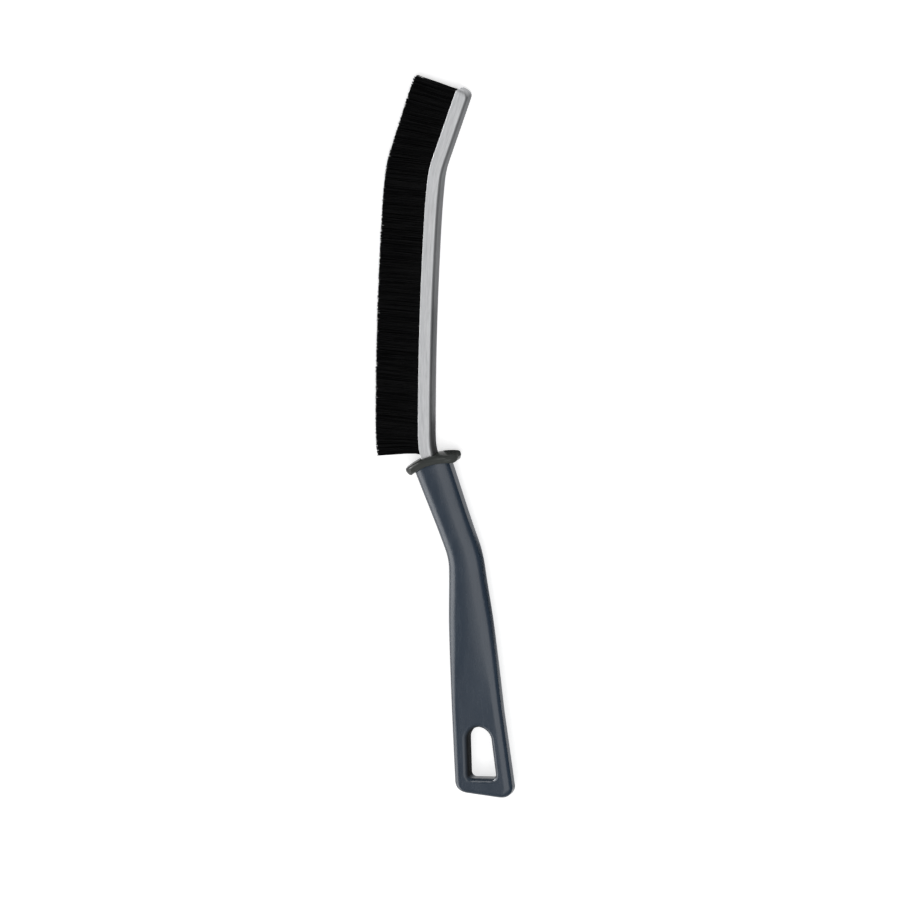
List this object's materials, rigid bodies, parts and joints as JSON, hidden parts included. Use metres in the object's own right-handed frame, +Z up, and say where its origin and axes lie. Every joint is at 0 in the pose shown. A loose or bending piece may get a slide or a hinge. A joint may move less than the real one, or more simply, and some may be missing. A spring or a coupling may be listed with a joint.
{
  "type": "crevice cleaning brush",
  "caption": "Slim bent hand brush: black bristles in a folded steel channel with a round nose, on a bent plastic handle with an arched guard and a hang hole.",
  "frame": {"origin": "centre of the whole brush's footprint, on the surface that it lies on", "axes": "+X from the hang end to the tip, +Y to the bristle side, +Z up out of the broad face; the brush lies on its guard and its nose"},
  "size_m": [0.2254, 0.0446, 0.0091],
  "materials": {
    "handle_plastic": "satin blue-grey moulded plastic",
    "guard_plastic": "semi-gloss dark grey moulded plastic",
    "channel_steel": "drawn strip, brushed along its length",
    "wire_steel": "drawn wire",
    "bristle_nylon": "black nylon filament"
  },
  "bodies": {
    "root": {"handle": "handle_plastic", "guard": "guard_plastic", "bristle_channel": "channel_steel", "core_wire": "wire_steel", "bristles_01": "bristle_nylon", "bristles_02": "bristle_nylon", "bristles_03": "bristle_nylon", "bristles_04": "bristle_nylon", "bristles_05": "bristle_nylon", "bristles_06": "bristle_nylon", "bristles_07": "bristle_nylon", "bristles_08": "bristle_nylon", "bristles_09": "bristle_nylon", "bristles_10": "bristle_nylon", "bristles_11": "bristle_nylon", "bristles_12": "bristle_nylon"}
  },
  "joints": []
}
